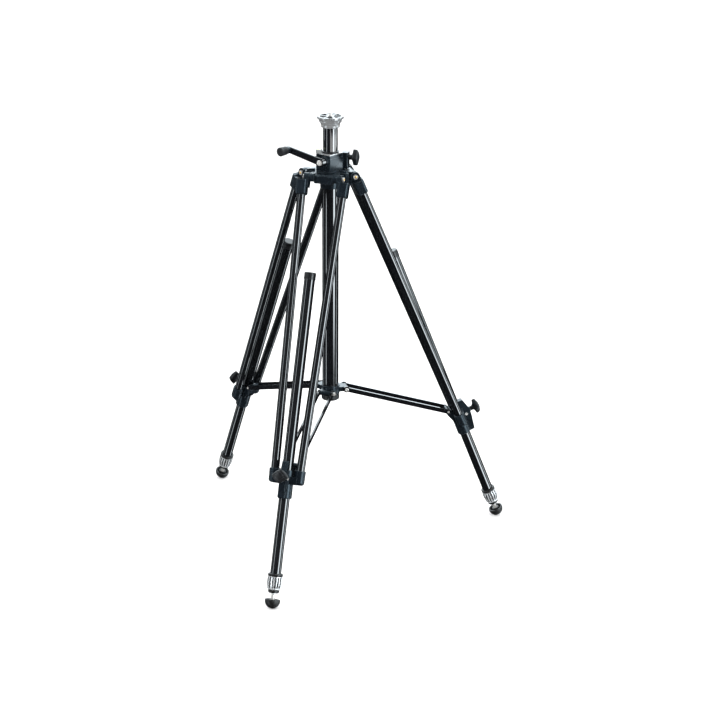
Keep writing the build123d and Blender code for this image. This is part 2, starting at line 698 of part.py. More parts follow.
LEVEL_R = 7.4
LEVEL_AT = (-17.2, -22.2)
LEVEL_H = 8.4
with BuildPart() as bubble_level:
    with BuildSketch(HOUSING.offset(COVER_TOP)):
        with Locations(LEVEL_AT):
            Circle(LEVEL_R)
    extrude(amount=LEVEL_H)
    with BuildSketch(HOUSING.offset(COVER_TOP + LEVEL_H - 0.8)):
        with Locations(LEVEL_AT):
            Circle(LEVEL_R - 1.2)
    extrude(amount=1, mode=Mode.SUBTRACT)
save(bubble_level, "bubble_level")

# ===================================================================== column
RACK_W = 8.0
RACK_LOW = 440.0
RACK_PITCH = 4.71
RACK_TEETH = 124
RACK_LEN = RACK_PITCH * RACK_TEETH
with BuildPart() as column_tube:
    with BuildSketch(Plane.XY.offset(COLUMN_LOW)):
        Circle(COLUMN_D / 2)
        Circle(COLUMN_D / 2 - COLUMN_WALL, mode=Mode.SUBTRACT)
    extrude(amount=COLUMN_TOP - COLUMN_LOW)
    with BuildSketch(HOUSING.offset(RACK_LOW)):
        with Locations((0, 16)):
            Rectangle(RACK_W, 10)
    extrude(amount=RACK_LEN, mode=Mode.SUBTRACT)
save(column_tube, "column_tube")

with BuildPart() as column_rack:
    with BuildSketch(Plane(Rot(0, 0, HOUSING_YAW) * Pos(-RACK_W / 2 + SET, 0, 0) * Rot(90, 90, 0))):
        with BuildLine():
            outline = [(12.6, RACK_LOW + SET)]
            for tooth in range(RACK_TEETH):
                foot = RACK_LOW + SET + tooth * RACK_PITCH
                outline.append((14.8, foot))
                outline.append((14.8, foot + 1.0))
                outline.append((17.0, foot + 1.9))
                outline.append((17.0, foot + 3.5))
                outline.append((14.8, foot + 4.4))
            outline.append((14.8, RACK_LOW + RACK_LEN - SET))
            outline.append((12.6, RACK_LOW + RACK_LEN - SET))
            Polyline(*outline, close=True)
        make_face()
    extrude(amount=RACK_W - 2 * SET)
save(column_rack, "column_rack")

RIM_R = 31.75
STUD_R = 4.7625              # 3/8 inch camera stud
STUD_TOP = 1081.0
STUD_RELIEF = 0.8
SHANK_R = 4.2
SHANK_DEPTH = 23.5
SPOKES = 6
GRUB_ANGLES = (-15, 105, 225)
GRUB_Z = 1051.0
GRUB_OUT = 22.6
GRUB_R = 2.5
with BuildPart() as top_plate:
    with BuildSketch(Plane.XZ):
        with BuildLine():
            Polyline(
                (0, PLATE_TOP),
                (RIM_R, PLATE_TOP),
                (RIM_R, PLATE_TOP - 4.5),
                (29.5, PLATE_TOP - 6.0),
                (27.2, PLATE_TOP - 8.5),
                (26.6, PLATE_TOP - 12.5),
                (23.6, PLATE_TOP - 16.5),
                (22.6, PLATE_TOP - 19.0),
                (22.2, COLUMN_TOP + 1.0),
                (21.2, COLUMN_TOP),
                (14.98, COLUMN_TOP),
                (14.98, COLUMN_TOP - 16),
                (0, COLUMN_TOP - 16),
                close=True,
            )
        make_face()
    revolve(axis=Axis.Z)
    # pockets between the spokes of the seat
    with BuildSketch(Plane.XY.offset(PLATE_TOP)):
        Circle(25.5)
        Circle(10.0, mode=Mode.SUBTRACT)
        with PolarLocations(18, SPOKES, start_angle=12):
            Rectangle(22, 4.5, mode=Mode.SUBTRACT)
    extrude(amount=-2.6, mode=Mode.SUBTRACT)
    # serrated rim
    with BuildSketch(Plane.XY.offset(PLATE_TOP)):
        with PolarLocations(RIM_R + 0.3, 48):
            RegularPolygon(1.3, 3, rotation=180)
    extrude(amount=-4.6, mode=Mode.SUBTRACT)
    with BuildSketch(Plane.XY.offset(PLATE_TOP)):
        Circle(STUD_R + 2.0)
    extrude(amount=-STUD_RELIEF, mode=Mode.SUBTRACT)
    with BuildSketch(Plane.XY.offset(PLATE_TOP)):
        Circle(SHANK_R + SET)
    extrude(amount=-SHANK_DEPTH - 0.5, mode=Mode.SUBTRACT)
    for angle in GRUB_ANGLES:
        grub = Plane(Rot(0, 0, angle) * Pos(30, 0, GRUB_Z) * Rot(0, 90, 0))
        with BuildSketch(grub):
            Circle(GRUB_R + SET)
        extrude(amount=-12.6, mode=Mode.SUBTRACT)
save(top_plate, "top_plate")

with BuildPart() as camera_stud:
    with BuildSketch(Plane.XY.offset(PLATE_TOP - SHANK_DEPTH)):
        Circle(SHANK_R)
    extrude(amount=SHANK_DEPTH)
    with BuildSketch(Plane.XY.offset(PLATE_TOP)):
        Circle(STUD_R)
    extrude(amount=STUD_TOP - PLATE_TOP)
    chamfer(faces().sort_by(Axis.Z)[-1].edges(), 0.8)
    with Locations((0, 0, STUD_TOP)):
        Box(12, 1.4, 2.4, mode=Mode.SUBTRACT)
save(camera_stud, "camera_stud")

with BuildPart() as plate_screws:
    for angle in GRUB_ANGLES:
        grub = Plane(Rot(0, 0, angle) * Pos(GRUB_OUT, 0, GRUB_Z) * Rot(0, 90, 0))
        with BuildSketch(grub):
            Circle(GRUB_R)
            RegularPolygon(1.3, 6, mode=Mode.SUBTRACT)
        extrude(amount=-2)
        with BuildSketch(grub.offset(-2)):
            Circle(GRUB_R)
        extrude(amount=-2.6)
save(plate_screws, "plate_screws")

# ================================================================ column lock
LOCK_AXIS = Plane(origin=(0, LOCK_Y, LOCK_Z), x_dir=(0, 0, 1), z_dir=(1, 0, 0))
LOCK_NECK_R = 6.4
LOCK_NECK = 7.6
LOCK_FLARE = 5.0
LOCK_GRIP = 11.0
LOCK_LONG = 39.0
LOCK_SHORT = 31.0
column_lock_knob = make_knob(
    LOCK_AXIS,
    LUG_END + 0.4,
    LOCK_NECK_R,
    LOCK_NECK,
    LOCK_FLARE,
    LOCK_GRIP,
    LOCK_LONG,
    LOCK_SHORT,
    LOCK_SCREW_FROM,
)
save(column_lock_knob, "column_lock_knob")

# ====================================================================== crank
# Crank frame: origin on the shaft, Z outwards from the housing's crank side.
ARM_START = 36.0
ARM_THICK = 8.0
CRANK_REACH = 101.0
CRANK_RISE = 8.8
GRIP_R = 11.0
GRIP_END = 74.0
with BuildPart() as crank_shaft:
    with BuildSketch(CRANK_FACE.offset(20.8)):
        Circle(SHAFT_R)
    extrude(amount=ARM_START + ARM_THICK + 2.4 - 20.8)
    with BuildSketch(CRANK_FACE.offset(ARM_START + ARM_THICK + 2.2)):
        Circle(6.6)
    extrude(amount=3.0)
    chamfer(faces().sort_by(Axis((0, 0, 0), CRANK_FACE.z_dir))[-1].edges(), 0.8)
save(crank_shaft, "crank_shaft")

CRANK_TIP = (
    -CRANK_REACH * cos(radians(CRANK_RISE)),
    CRANK_REACH * sin(radians(CRANK_RISE)),
)
with BuildPart() as crank_arm:
    with BuildSketch(CRANK_FACE.offset(ARM_START)):
        Circle(9.4)
        with Locations(CRANK_TIP):
            Circle(8.0)
        make_hull()
    extrude(amount=ARM_THICK)
    fillet(faces().filter_by(Axis((0, 0, 0), CRANK_FACE.z_dir)).edges(), 2.6)
    with BuildSketch(CRANK_FACE.offset(ARM_START - 2.0)):
        Circle(10.2)
    extrude(amount=ARM_THICK + 4.0)
    with BuildSketch(CRANK_FACE.offset(ARM_START + 2)):
        with Locations(CRANK_TIP):
            Circle(4.0)
    extrude(amount=GRIP_END - 4.0 - ARM_START - 2)
    with BuildSketch(CRANK_FACE.offset(ARM_START - 3)):
        Circle(SHAFT_R + SET)
    extrude(amount=ARM_THICK + 6, mode=Mode.SUBTRACT)
save(crank_arm, "crank_arm")

with BuildPart() as crank_grip:
    with BuildSketch(CRANK_FACE.offset(ARM_START + ARM_THICK + 0.4)):
        with Locations(CRANK_TIP):
            Circle(8.8)
    with BuildSketch(CRANK_FACE.offset(GRIP_END)):
        with Locations(CRANK_TIP):
            Circle(GRIP_R)
    loft()
    fillet(faces().sort_by(Axis((0, 0, 0), CRANK_FACE.z_dir))[-1].edges(), 1.8)
    with BuildSketch(CRANK_FACE.offset(ARM_START)):
        with Locations(CRANK_TIP):
            Circle(4.0 + RUN)
    extrude(amount=GRIP_END - 3.8 - ARM_START, mode=Mode.SUBTRACT)
save(crank_grip, "crank_grip")

print("origin offset", round(BALL_OUT / 4, 4))
print("ball centre along slide", round(BALL_Q, 3), "slide angle", round(MID_ANGLE, 3))
print("arm length", round(ARM_LENGTH, 3), "arm angle", round(ARM_ANGLE, 3))
print("arm closed", round(ARM_CLOSED, 3), "hub travel", round(HUB_TRAVEL, 3))
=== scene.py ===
import json
import math

import bmesh
import bpy
from mathutils import Matrix, Vector


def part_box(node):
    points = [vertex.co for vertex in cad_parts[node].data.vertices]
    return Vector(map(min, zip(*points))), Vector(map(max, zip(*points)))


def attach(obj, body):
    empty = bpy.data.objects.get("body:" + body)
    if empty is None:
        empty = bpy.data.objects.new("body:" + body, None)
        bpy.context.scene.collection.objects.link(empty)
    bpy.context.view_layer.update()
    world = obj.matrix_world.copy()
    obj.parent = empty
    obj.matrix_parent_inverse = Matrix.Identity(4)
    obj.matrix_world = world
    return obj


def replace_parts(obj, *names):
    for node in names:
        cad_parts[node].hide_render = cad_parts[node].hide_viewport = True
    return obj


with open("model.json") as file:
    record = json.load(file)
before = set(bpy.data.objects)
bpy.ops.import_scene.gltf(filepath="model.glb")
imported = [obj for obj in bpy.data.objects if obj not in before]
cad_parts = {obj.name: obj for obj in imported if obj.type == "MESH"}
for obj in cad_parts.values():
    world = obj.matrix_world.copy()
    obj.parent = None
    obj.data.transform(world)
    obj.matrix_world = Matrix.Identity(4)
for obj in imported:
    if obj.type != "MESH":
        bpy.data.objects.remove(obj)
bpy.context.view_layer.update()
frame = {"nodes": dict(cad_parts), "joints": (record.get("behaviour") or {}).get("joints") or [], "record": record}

# Looks for the studio tripod. Metres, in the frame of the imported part.

MM = 0.001
LEGS = ("front", "right", "left")
JOINTS = {entry["name"]: entry for entry in frame["joints"]}
SLOT_OF = {entry["node"]: entry["material_slot"] for entry in frame["record"]["subparts"]}
UP = Vector((0, 0, 1))
COLUMN_LOW, COLUMN_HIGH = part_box("column_tube")
# Foot of the column axis on the floor.
CENTRE = Vector(((COLUMN_LOW.x + COLUMN_HIGH.x) / 2, (COLUMN_LOW.y + COLUMN_HIGH.y) / 2, 0.0))


# ------------------------------------------------------------------ materials
class Shader:
    """A material and short calls for the nodes that feed its Principled shader."""

    def __init__(self, name):
        self.material = bpy.data.materials.new(name)
        self.material.use_nodes = True
        self.nodes = self.material.node_tree.nodes
        self.links = self.material.node_tree.links
        self.surface = self.nodes["Principled BSDF"]
        self.coords = self.nodes.new("ShaderNodeTexCoord").outputs["Object"]

    def set(self, **values):
        for key, value in values.items():
            self.surface.inputs[key.replace("_", " ")].default_value = value

    def feed(self, output, key):
        self.links.new(output, self.surface.inputs[key])

    def node(self, kind, inputs=None, **settings):
        made = self.nodes.new(kind)
        for key, value in settings.items():
            setattr(made, key, value)
        for key, value in (inputs or {}).items():
            if isinstance(value, bpy.types.NodeSocket):
                self.links.new(value, made.inputs[key])
            else:
                made.inputs[key].default_value = value
        return made

    def noise(self, scale, detail=3.0, vector=None, rough=0.5):
        inputs = {"Scale": scale, "Detail": detail, "Roughness": rough, "Vector": vector or self.coords}
        return self.node("ShaderNodeTexNoise", inputs).outputs["Fac"]

    def remap(self, value, low, high, to_low, to_high):
        inputs = {0: value, 1: low, 2: high, 3: to_low, 4: to_high}
        return self.node("ShaderNodeMapRange", inputs, clamp=True).outputs[0]

    def mix(self, factor, dark, light):
        made = self.node("ShaderNodeMix", {0: factor}, data_type="RGBA")
        for socket, value in ((6, dark), (7, light)):
            if isinstance(value, bpy.types.NodeSocket):
                self.links.new(value, made.inputs[socket])
            else:
                made.inputs[socket].default_value = value
        return made.outputs[2]

    def math(self, operation, *values):
        return self.node("ShaderNodeMath", dict(enumerate(values)), operation=operation).outputs[0]

    def bump(self, height, strength, distance, normal=None):
        inputs = {"Height": height, "Strength": strength, "Distance": distance}
        if normal is not None:
            inputs["Normal"] = normal
        return self.node("ShaderNodeBump", inputs).outputs["Normal"]

    def along(self, axis, squeeze):
        """Object coordinates squeezed along an axis, so that grain runs that way."""
        vector = self.node("ShaderNodeVectorMath", {0: self.coords, 1: axis}, operation="DOT_PRODUCT")
        pull = self.math("MULTIPLY", vector.outputs["Value"], squeeze - 1.0)
        shift = self.node("ShaderNodeVectorMath", {0: axis, "Scale": pull}, operation="SCALE")
        both = {0: self.coords, 1: shift.outputs["Vector"]}
        return self.node("ShaderNodeVectorMath", both, operation="ADD").outputs["Vector"]

    def edges(self, radius):
        """0 on flat faces, rising to 1 on convex and concave edges."""
        rounded = self.node("ShaderNodeBevel", {"Radius": radius}, samples=4).outputs["Normal"]
        flat = self.node("ShaderNodeNewGeometry").outputs["Normal"]
        dot = self.node("ShaderNodeVectorMath", {0: rounded, 1: flat}, operation="DOT_PRODUCT")
        return self.remap(dot.outputs["Value"], 0.995, 0.85, 0.0, 1.0)


def rgb(red, green, blue):
    return (red, green, blue, 1.0)


def tube_black(axis=(0, 0, 1)):
    """Glossy black painted tube with drawn grain, light handling marks and dust."""
    s = Shader("tube_black")
    grain = s.noise(1400.0, 2.0, s.along(axis, 0.012))
    cloud = s.noise(16.0, 4.0)
    marks = s.noise(240.0, 5.0, s.along(axis, 0.15), 0.7)
    pale_patch = s.remap(marks, 0.66, 0.74, 0.0, 1.0)
    color = s.mix(cloud, rgb(0.0018, 0.0021, 0.0027), rgb(0.0045, 0.005, 0.0062))
    color = s.mix(s.math("MULTIPLY", pale_patch, 0.2), color, rgb(0.03, 0.034, 0.038))
    rough = s.remap(cloud, 0.3, 0.7, 0.045, 0.075)
    rough = s.math("ADD", rough, s.math("MULTIPLY", pale_patch, 0.08))
    rough = s.math("ADD", rough, s.remap(grain, 0.3, 0.7, 0.0, 0.02))
    s.feed(color, "Base Color")
    s.feed(rough, "Roughness")
    s.set(IOR=1.85)
    return s.material


def casting_black():
    """Satin powder coat on die castings: fine orange peel, with a painted highlight on the edges in worn patches.
    """
    s = Shader("casting_black")
    peel = s.noise(1500.0, 2.0)
    cloud = s.noise(28.0, 4.0)
    edge = s.edges(0.0009)
    # Painted highlight: edges lightened to a bluish grey, broken up by noise into patches of wear.
    pale_patch = s.math("MULTIPLY", edge, s.remap(s.noise(130.0, 5.0), 0.42, 0.62, 0.15, 1.0))
    color = s.mix(cloud, rgb(0.003, 0.0045, 0.0065), rgb(0.0065, 0.0095, 0.013))
    color = s.mix(s.math("MULTIPLY", pale_patch, 0.6), color, rgb(0.17, 0.21, 0.24))
    s.feed(color, "Base Color")
    s.feed(s.remap(cloud, 0.3, 0.7, 0.24, 0.32), "Roughness")
    s.set(IOR=1.5, Specular_IOR_Level=0.38, Specular_Tint=rgb(0.70, 0.88, 1.0))
    s.feed(s.bump(peel, 0.12, 0.00015), "Normal")
    return s.material


def turned_silver(axis=(0, 0, 1), centre=(0, 0, 0), low=0.50, high=0.70, metallic=0.7, seat=None):
    """Machined aluminium with fine turning rings round an axis, painted shade (ambient occlusion) in its grooves
    and recesses, and a painted highlight on its edges.
    A seat value darkens the faces square to the axis, as on a worn plate."""
    s = Shader("turned_silver")
    offset = s.node("ShaderNodeVectorMath", {0: s.coords, 1: centre}, operation="SUBTRACT").outputs["Vector"]
    dot = s.node("ShaderNodeVectorMath", {0: offset, 1: axis}, operation="DOT_PRODUCT").outputs["Value"]
    rise = s.node("ShaderNodeVectorMath", {0: axis, "Scale": dot}, operation="SCALE").outputs["Vector"]
    flat = s.node("ShaderNodeVectorMath", {0: offset, 1: rise}, operation="SUBTRACT").outputs["Vector"]
    radius = s.node("ShaderNodeVectorMath", {0: flat}, operation="LENGTH").outputs["Value"]
    ring = s.node("ShaderNodeCombineXYZ", {"X": radius, "Y": dot}).outputs["Vector"]
    turning = s.noise(2600.0, 2.0, ring)
    cloud = s.noise(60.0, 4.0)
    edge = s.edges(0.0006)
    color = s.mix(cloud, rgb(low, low * 1.02, low * 1.04), rgb(high, high * 1.01, high * 1.02))
    if seat is not None:
        normal = s.node("ShaderNodeNewGeometry").outputs["Normal"]
        facing = s.node("ShaderNodeVectorMath", {0: normal, 1: axis}, operation="DOT_PRODUCT")
        facing = s.remap(facing.outputs["Value"], 0.90, 0.97, 0.0, 1.0)
        rubbed = s.remap(s.noise(90.0, 5.0, None, 0.65), 0.45, 0.60, seat, seat * 3.2)
        grey = s.node("ShaderNodeCombineColor", {0: rubbed, 1: rubbed, 2: rubbed}).outputs[0]
        color = s.mix(facing, color, grey)
    # Painted highlight: edges lightened towards pale grey.
    color = s.mix(s.math("MULTIPLY", edge, 0.5), color, rgb(0.80, 0.80, 0.80))
    # Painted shade: ambient occlusion darkens grooves, recesses and gaps between parts towards near black.
    occlusion_shade = s.node("ShaderNodeAmbientOcclusion", {"Distance": 0.004}, samples=6).outputs["AO"]
    color = s.mix(s.remap(occlusion_shade, 0.55, 0.92, 0.0, 1.0), rgb(0.05, 0.055, 0.06), color)
    s.feed(color, "Base Color")
    s.feed(s.remap(turning, 0.3, 0.7, 0.20, 0.32), "Roughness")
    s.set(Metallic=metallic)
    s.feed(s.bump(turning, 0.25, 0.00012), "Normal")
    return s.material


def bright_steel():
    """Zinc-plated steel of the screws, pins and spindles."""
    s = Shader("bright_steel")
    cloud = s.noise(220.0, 4.0)
    fine = s.noise(1800.0, 2.0)
    s.feed(s.mix(cloud, rgb(0.55, 0.54, 0.52), rgb(0.82, 0.81, 0.79)), "Base Color")
    s.feed(s.remap(fine, 0.3, 0.7, 0.18, 0.32), "Roughness")
    s.set(Metallic=0.6)
    s.feed(s.bump(fine, 0.12, 0.0001), "Normal")
    return s.material


def moulded_plastic():
    """Black glass-filled nylon: fine spark-eroded texture, with a painted highlight lightening the edges."""
    s = Shader("moulded_plastic")
    fine = s.noise(2200.0, 2.0)
    cloud = s.noise(45.0, 4.0)
    edge = s.edges(0.0010)
    color = s.mix(cloud, rgb(0.004, 0.0042, 0.005), rgb(0.009, 0.0096, 0.011))
    # Painted highlight: edges lightened.
    color = s.mix(s.math("MULTIPLY", edge, 0.4), color, rgb(0.06, 0.065, 0.07))
    s.feed(color, "Base Color")
    s.feed(s.remap(cloud, 0.3, 0.7, 0.26, 0.36), "Roughness")
    s.set(IOR=1.5, Specular_IOR_Level=0.4)
    s.feed(s.bump(fine, 0.20, 0.00015), "Normal")
    return s.material


def rubber_black():
    """Moulded rubber with a dull bloom and scuffs."""
    s = Shader("rubber_black")
    fine = s.noise(1300.0, 3.0)
    cloud = s.noise(70.0, 5.0)
    scuff = s.remap(s.noise(260.0, 6.0, None, 0.7), 0.60, 0.72, 0.0, 1.0)
    color = s.mix(cloud, rgb(0.004, 0.004, 0.004), rgb(0.011, 0.011, 0.011))
    color = s.mix(s.math("MULTIPLY", scuff, 0.4), color, rgb(0.04, 0.04, 0.038))
    s.feed(color, "Base Color")
    s.feed(s.remap(cloud, 0.3, 0.7, 0.34, 0.50), "Roughness")
    s.set(IOR=1.5, Specular_IOR_Level=0.4)
    s.feed(s.bump(fine, 0.25, 0.0002), "Normal")
    return s.material


def level_plastic():
    """Clear acrylic body of the spirit level, tinted by the liquid."""
    s = Shader("level_plastic")
    cloud = s.noise(300.0, 3.0)
    s.feed(s.mix(cloud, rgb(0.22, 0.28, 0.07), rgb(0.34, 0.42, 0.11)), "Base Color")
    s.feed(s.remap(cloud, 0.3, 0.7, 0.06, 0.12), "Roughness")
    s.set(IOR=1.49, Coat_Weight=0.6)
    return s.material


def level_body():
    """Satin grey moulding that holds the spirit level."""
    s = Shader("level_body")
    cloud = s.noise(260.0, 4.0)
    edge = s.edges(0.0005)
    color = s.mix(cloud, rgb(0.16, 0.17, 0.17), rgb(0.24, 0.25, 0.25))
    # Painted highlight: edges lightened towards mid grey.
    color = s.mix(s.math("MULTIPLY", edge, 0.5), color, rgb(0.5, 0.5, 0.5))
    s.feed(color, "Base Color")
    s.feed(s.remap(cloud, 0.3, 0.7, 0.30, 0.45), "Roughness")
    return s.material


def brass_gold():
    """Yellow passivated brass of the bolt centres."""
    s = Shader("brass_gold")
    cloud = s.noise(240.0, 4.0)
    s.feed(s.mix(cloud, rgb(0.62, 0.36, 0.10), rgb(0.84, 0.56, 0.22)), "Base Color")
    s.feed(s.remap(cloud, 0.3, 0.7, 0.20, 0.34), "Roughness")
    s.set(Metallic=0.6)
    return s.material


AXIS_OF = {leg: tuple(JOINTS[leg + "_middle_slide"]["axis"]) for leg in LEGS}
TUBES = {leg: tube_black(AXIS_OF[leg]) for leg in LEGS}
TUBES["centre"] = tube_black()
SILVER = {}
for leg in LEGS:
    collar = tuple(JOINTS[leg + "_collar_turn"]["pos_m"])
    SILVER[leg] = turned_silver(AXIS_OF[leg], collar, 0.60, 0.82)
SILVER["centre"] = turned_silver(centre=tuple(CENTRE), low=0.60, high=0.75)
PLATE_SILVER = turned_silver(centre=tuple(CENTRE), low=0.24, high=0.40, metallic=0.6, seat=0.05)
# Painted shade: a near-black copy of the silver, put on the faces deep in the collar flutes.
GROOVE_SHADE = turned_silver(centre=tuple(CENTRE), low=0.03, high=0.07)
CASTING = casting_black()
STEEL = bright_steel()
PLASTIC = moulded_plastic()
RUBBER = rubber_black()
LEVEL = level_plastic()
LEVEL_BODY = level_body()
BRASS = brass_gold()


def material_for(node):
    leg = node.split("_")[0]
    where = leg if leg in LEGS else "centre"
    if node == "top_plate":
        return PLATE_SILVER
    if node == "crank_arm":
        return TUBES["centre"]
    return {
        "black_tube": TUBES[where],
        "silver_alloy": SILVER[where],
        "black_casting": CASTING,
        "steel": STEEL,
        "black_plastic": PLASTIC,
        "black_rubber": RUBBER,
        "level_vial": LEVEL_BODY,
    }[SLOT_OF[node]]


def soften(piece, width, angle=32.0):
    """Weld the tessellated mesh and round its sharp edges a little."""
    weld = piece.modifiers.new("weld", "WELD")
    weld.merge_threshold = 0.00001
    bevel = piece.modifiers.new("bevel", "BEVEL")
    bevel.width = width
    bevel.segments = 2
    bevel.limit_method = "ANGLE"
    bevel.angle_limit = math.radians(angle)
    bevel.harden_normals = True
    piece.modifiers.new("normals", "WEIGHTED_NORMAL").keep_sharp = True


for name, node in frame["nodes"].items():
    node.data.materials.clear()
    node.data.materials.append(material_for(name))
    soften(node, 0.35 * MM)


# ---------------------------------------------------------------- mesh making
ROUND = 96


def circle(radius):
    return lambda angle: radius


def lozenge(long, short, power):
    """Outline of a diamond with rounded corners, as radius over angle."""
    def radius(angle):
        a = abs(math.cos(angle)) / long
        b = abs(math.sin(angle)) / short
        return (a ** power + b ** power) ** (-1.0 / power)
    return radius


def hexagon(flat):
    """Outline of a hexagon, flat is half the width across flats."""
    sector = math.radians(60)
    return lambda angle: flat / math.cos(angle % sector - sector / 2)


def ring(height, outline, bend=None, count=ROUND):
    points = []
    for step in range(count):
        angle = 2 * math.pi * step / count
        radius = outline(angle)
        x, y = radius * math.cos(angle), radius * math.sin(angle)
        z = height + (bend(x, y) if bend else 0.0)
        points.append(Vector((x, y, z)))
    return points


def add_object(name, mesh, body, material, place=None):
    mesh.materials.append(material)
    piece = bpy.data.objects.new(name, mesh)
    bpy.context.collection.objects.link(piece)
    if place is not None:
        mesh.transform(place)
    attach(piece, body)
    return piece


def stack(name, rings, place, body, material, caps=(True, True), smooth=35.0):
    """Skin a row of rings that all have the same number of points."""
    bm = bmesh.new()
    rows = [[bm.verts.new(point) for point in row] for row in rings]
    count = len(rows[0])
    for low, high in zip(rows, rows[1:]):
        for step in range(count):
            after = (step + 1) % count
            bm.faces.new((low[step], low[after], high[after], high[step]))
    if caps[0]:
        bm.faces.new(list(reversed(rows[0])))
    if caps[1]:
        bm.faces.new(rows[-1])
    bmesh.ops.recalc_face_normals(bm, faces=bm.faces)
    mesh = bpy.data.meshes.new(name)
    bm.to_mesh(mesh)
    bm.free()
    mesh.shade_smooth()
    mesh.set_sharp_from_angle(angle=math.radians(smooth))
    return add_object(name, mesh, body, material, place)


def frame_at(point, axis, across):
    """Placing matrix with Z along axis and X as near to across as it can be."""
    z = Vector(axis).normalized()
    x = Vector(across)
    x = (x - z * x.dot(z)).normalized()
    y = z.cross(x)
    matrix = Matrix((x, y, z)).transposed().to_4x4()
    matrix.translation = Vector(point)
    return matrix


def across_of(axis):
    """A direction well away from an axis, to square a frame on."""
    return UP if abs(Vector(axis).z) < 0.9 else Vector((1, 0, 0))


def turned(name, profile, place, body, material, caps=(True, True)):
    """A round piece from a profile of (radius, height) points."""
    rings = [ring(height, circle(radius)) for radius, height in profile]
    return stack(name, rings, place, body, material, caps)


def mixed(first, second, share):
    """Outline between two outlines."""
    return lambda angle: first(angle) * (1 - share) + second(angle) * share


def cap_screw(name, point, axis, body, radius=4.6, height=4.0, key=1.9):
    """Socket head screw: rounded head with a hexagon recess."""
    place = frame_at(point, axis, across_of(axis))
    r, h, k = radius * MM, height * MM, key * MM
    rings = [
        ring(0, circle(r * 0.98), count=48),
        ring(h * 0.86, circle(r), count=48),
        ring(h * 0.96, circle(r * 0.97), count=48),
        ring(h, circle(r * 0.90), count=48),
        ring(h, circle(k * 1.42), count=48),
        ring(h - 0.2 * MM, hexagon(k), count=48),
        ring(h * 0.35, hexagon(k), count=48),
    ]
    return stack(name, rings, place, body, STEEL)


def washer(name, point, axis, body, radius, hole, thick):
    place = frame_at(point, axis, across_of(axis))
    r, b, t = radius * MM, hole * MM, thick * MM
    profile = [(b, 0), (r * 0.97, 0), (r, t * 0.3), (r, t * 0.7), (r * 0.97, t), (b, t)]
    return turned(name, profile, place, body, STEEL, caps=(False, False))


# ------------------------------------------------------------------ lock knobs
def lozenge_knob(name, place, body, sizes, dome, node):
    """Neck, cupped back and domed lozenge grip with a raised inner lozenge."""
    foot, neck_top, flare_top, top, neck_r, long, short = sizes
    dome = dome / MM

    def droop(x, y):
        return -dome * (x * x + y * y)

    def level(height, share, size):
        outline = mixed(circle(neck_r), lozenge(long * size, short * size, 1.22), share)
        return ring(height, outline, droop if share > 0.5 else None)

    rings = [
        ring(foot, circle(neck_r)),
        ring(neck_top - 0.6 * MM, circle(neck_r)),
        ring(neck_top, circle(neck_r * 1.06)),
        level(neck_top + 0.35 * (flare_top - neck_top), 0.25, 1.0),
        level(neck_top + 0.62 * (flare_top - neck_top), 0.52, 0.98),
        level(flare_top - 0.2 * MM, 0.9, 0.965),
        level(flare_top + 0.6 * MM, 1.0, 0.99),
        level(flare_top + 1.6 * MM, 1.0, 1.0),
        level(top - 2.4 * MM, 1.0, 0.985),
        level(top - 1.0 * MM, 1.0, 0.955),
        level(top - 0.2 * MM, 1.0, 0.90),
        level(top, 1.0, 0.84),
        level(top, 1.0, 0.60),
        level(top - 0.7 * MM, 1.0, 0.575),
        level(top - 0.7 * MM, 1.0, 0.545),
        level(top + 0.7 * MM, 1.0, 0.52),
        level(top + 1.1 * MM, 1.0, 0.47),
        level(top + 1.2 * MM, 1.0, 0.30),
        level(top + 1.2 * MM, 1.0, 0.10),
    ]
    piece = stack(name, rings, place, body, PLASTIC, smooth=40.0)
    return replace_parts(piece, node)


for leg in LEGS:
    turn = JOINTS[leg + "_lock_turn"]
    across = JOINTS[leg + "_leg_fold"]["axis"] if leg == "front" else UP
    place = frame_at(turn["pos_m"], turn["axis"], across)
    sizes = (-10 * MM, -3 * MM, 5.0 * MM, 14.0 * MM, 6.0 * MM, 20.5 * MM, 16.5 * MM)
    lozenge_knob(leg + "_knob_grip", place, leg + "_lock", sizes, 0.009, leg + "_lock_knob")
    cap = Vector(turn["pos_m"]) - Vector(turn["axis"]) * 11.2 * MM
    washer(leg + "_knob_washer", cap, turn["axis"], leg + "_lock", 6.4, 4.1, 1.0)

turn = JOINTS["column_lock_turn"]
place = frame_at(turn["pos_m"], turn["axis"], UP)
sizes = (-11.1 * MM, -3.5 * MM, 1.5 * MM, 12.5 * MM, 6.4 * MM, 19.5 * MM, 15.5 * MM)
lozenge_knob("column_knob_grip", place, "column_lock", sizes, 0.005, "column_lock_knob")


